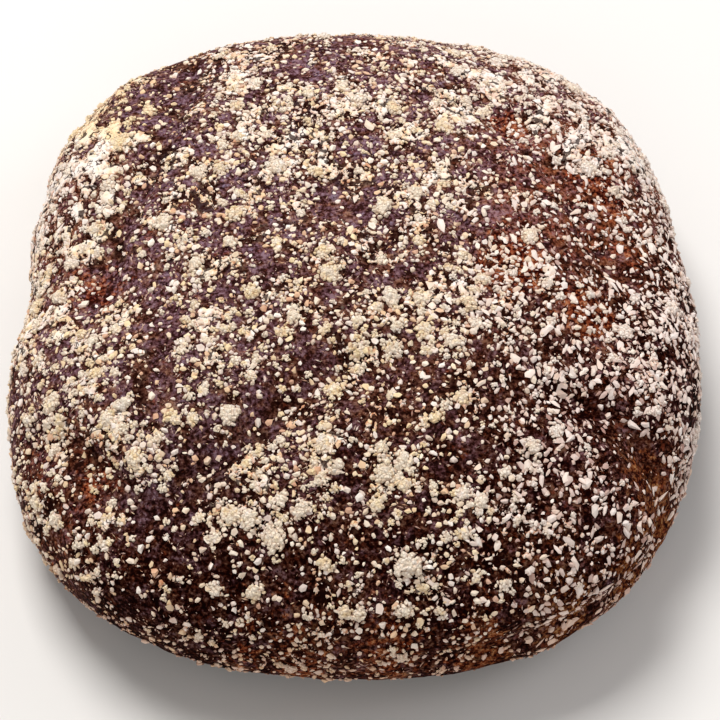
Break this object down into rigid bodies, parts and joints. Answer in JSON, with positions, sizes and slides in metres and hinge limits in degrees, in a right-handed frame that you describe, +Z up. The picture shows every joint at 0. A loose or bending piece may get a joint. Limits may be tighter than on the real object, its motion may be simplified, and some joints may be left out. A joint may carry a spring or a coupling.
{
  "type": "barley flatbread loaf",
  "caption": "Low square-shouldered barley hearth loaf, one solid piece with a flat base, a dark creased crust and a coarse dusting of meal.",
  "frame": {"origin": "middle of the loaf's footprint, on the surface that it stands on", "axes": "+Z up out of the crust's crown, +Y towards the back of the loaf, +X to the right seen from the front"},
  "size_m": [0.2188, 0.236, 0.0722],
  "materials": {
    "crust": "dark baked crust, matt with a faint glaze along the creases",
    "meal": "dry coarse barley meal baked onto the crust, matt cream"
  },
  "bodies": {
    "root": {"loaf": "crust"}
  },
  "joints": []
}
